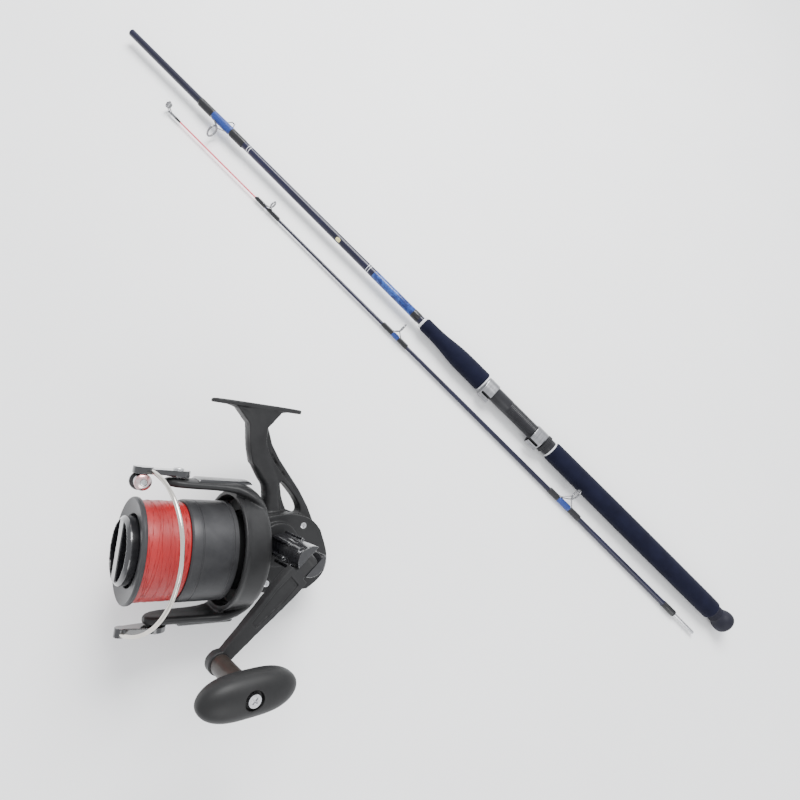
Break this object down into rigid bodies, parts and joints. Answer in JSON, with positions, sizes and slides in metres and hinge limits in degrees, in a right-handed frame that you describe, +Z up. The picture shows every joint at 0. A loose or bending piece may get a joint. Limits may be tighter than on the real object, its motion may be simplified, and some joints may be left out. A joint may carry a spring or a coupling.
{
  "type": "fishing rod and reel",
  "caption": "Two-piece spinning rod lying beside its front-drag spinning reel, with foam grips, wire guides, red solid tip and a folding handle.",
  "frame": {"origin": "centre of the whole layout on the surface it lies on", "axes": "+X along the rod from the ferrule end to the butt, +Y from the reel to the rod, +Z up"},
  "size_m": [0.8458, 0.3829, 0.1575],
  "materials": {
    "blank": "gloss lacquered glass fibre",
    "accent": "gloss marbled blue",
    "white_ring": "gloss white",
    "foam": "matt fine-grained foam",
    "seat_plastic": "satin moulded",
    "hood_metal": "brushed",
    "cap_rubber": "matt",
    "guide_wire": "bright drawn wire",
    "guide_ceramic": "polished ceramic",
    "thread_black": "epoxy coated thread",
    "thread_blue": "epoxy coated thread",
    "red_fibre": "gloss solid glass fibre",
    "steel": "machined",
    "brass": "machined",
    "graphite": "satin moulded",
    "gloss_black": "gloss moulded",
    "spool_metal": "dark anodised",
    "line_red": "wound nylon line",
    "knob_rubber": "satin",
    "bail_metal": "polished"
  },
  "bodies": {
    "butt_section": {"butt_blank": "blank", "accent_band": "accent", "winding_check": "white_ring", "foregrip": "foam", "seat_tube": "seat_plastic", "fixed_hood": "hood_metal", "trim_rings": "white_ring", "butt_grip": "foam", "butt_cap": "cap_rubber", "butt_guide_frame": "guide_wire", "butt_guide_ring": "guide_ceramic", "butt_wraps": "thread_black", "butt_accent_wrap": "thread_blue", "keeper_loop": "guide_wire"},
    "seat_hood": {"sliding_hood": "hood_metal"},
    "seat_nut": {"lock_nut": "seat_plastic"},
    "tip_section": {"tip_blank": "blank", "red_tip": "red_fibre", "spigot": "steel", "spigot_collar": "thread_black", "tip_top": "guide_wire", "guide_1_frame": "guide_wire", "guide_2_frame": "guide_wire", "guide_3_frame": "guide_wire", "tip_guide_rings": "guide_ceramic", "tip_wraps": "thread_black", "tip_accent_wraps": "thread_blue"},
    "reel": {"reel_body": "graphite", "side_cover": "graphite", "body_screws": "steel", "bearing_cap": "graphite", "pinion_bearing": "steel", "one_way_clutch": "steel", "gear_bearings": "steel", "slider_rod": "steel"},
    "reverse_lever": {"anti_reverse_lever": "gloss_black"},
    "cam_gear": {"oscillation_gear": "steel"},
    "shaft": {"main_shaft": "steel", "oscillation_slider": "gloss_black", "drag_washers": "steel"},
    "rotor_group": {"pinion_gear": "brass", "rotor": "graphite", "rotor_nut": "steel", "arm_covers": "gloss_black", "bail_screws": "steel"},
    "bail": {"bail_arm": "graphite", "bail_wire": "bail_metal", "trip_lever": "graphite", "roller_screw": "steel"},
    "roller": {"line_roller": "bail_metal"},
    "spool_group": {"spool": "spool_metal", "line_winding": "line_red"},
    "drag": {"drag_knob": "gloss_black"},
    "crank": {"drive_gear": "steel", "handle_shaft": "gloss_black", "fold_pin": "steel"},
    "arm": {"handle_arm": "graphite", "knob_spindle": "gloss_black", "knob_screw": "steel"},
    "knob": {"handle_knob": "knob_rubber"}
  },
  "joints": [
    {"name": "hood_slide", "type": "slide", "parent": "butt_section", "child": "seat_hood", "axis": [-1, 0, 0], "range_m": [0, 0.012]},
    {"name": "nut_turn", "type": "hinge", "parent": "seat_hood", "child": "seat_nut", "pos_m": [0.1611, 0.1805, 0.011], "axis": [-1, 0, 0], "range_deg": [0, 1080]},
    {"name": "tip_slide", "type": "slide", "parent": "butt_section", "child": "tip_section", "axis": [0, -1, 0], "range_m": [0, 0.06]},
    {"name": "reel_slide", "type": "slide", "parent": "butt_section", "child": "reel", "axis": [0, -1, 0], "range_m": [0, 0.1]},
    {"name": "handle_turn", "type": "hinge", "parent": "reel", "child": "crank", "pos_m": [0.03027, -0.07859, 0.03911], "axis": [0.4568, 0.0106, 0.8895], "continuous": true},
    {"name": "rotor_turn", "type": "hinge", "parent": "reel", "child": "rotor_group", "pos_m": [0.02203, -0.09799, 0.04357], "axis": [-0.6535, -0.6744, 0.3437], "continuous": true},
    {"name": "cam_turn", "type": "hinge", "parent": "reel", "child": "cam_gear", "pos_m": [0.04334, -0.06511, 0.03223], "axis": [0.4568, 0.0106, 0.8895], "continuous": true},
    {"name": "shaft_stroke", "type": "slide", "parent": "reel", "child": "shaft", "axis": [-0.6535, -0.6744, 0.3437], "range_m": [-0.01, 0.01]},
    {"name": "spool_slip", "type": "hinge", "parent": "shaft", "child": "spool_group", "pos_m": [-0.01718, -0.13845, 0.06419], "axis": [-0.6535, -0.6744, 0.3437], "continuous": true},
    {"name": "drag_turn", "type": "hinge", "parent": "shaft", "child": "drag", "pos_m": [-0.02895, -0.15059, 0.07038], "axis": [-0.6535, -0.6744, 0.3437], "range_deg": [-180, 180]},
    {"name": "bail_open", "type": "hinge", "parent": "rotor_group", "child": "bail", "pos_m": [-0.01195, -0.13306, 0.06144], "axis": [0.6035, -0.7383, -0.3011], "range_deg": [0, 110]},
    {"name": "roller_spin", "type": "hinge", "parent": "bail", "child": "roller", "pos_m": [-0.05391, -0.11539, 0.08615], "axis": [0.4568, 0.0106, 0.8895], "continuous": true},
    {"name": "handle_fold", "type": "hinge", "parent": "crank", "child": "arm", "pos_m": [0.06179, -0.07786, 0.10049], "axis": [-0.8895, -0.0071, 0.4569], "range_deg": [0, 90]},
    {"name": "knob_spin", "type": "hinge", "parent": "arm", "child": "knob", "pos_m": [0.08278, -0.15738, 0.14012], "axis": [0.4568, 0.0106, 0.8895], "continuous": true},
    {"name": "reverse_switch", "type": "hinge", "parent": "reel", "child": "reverse_lever", "pos_m": [0.06994, -0.07849, 0.01874], "axis": [0.4568, 0.0106, 0.8895], "range_deg": [0, 12]}
  ],
  "couplings": [
    {"joint": "nut_turn", "follows": "hood_slide", "rad_per_m": 1570.8},
    {"joint": "rotor_turn", "follows": "handle_turn", "ratio": 4.8},
    {"joint": "cam_turn", "follows": "handle_turn", "ratio": -0.7}
  ]
}
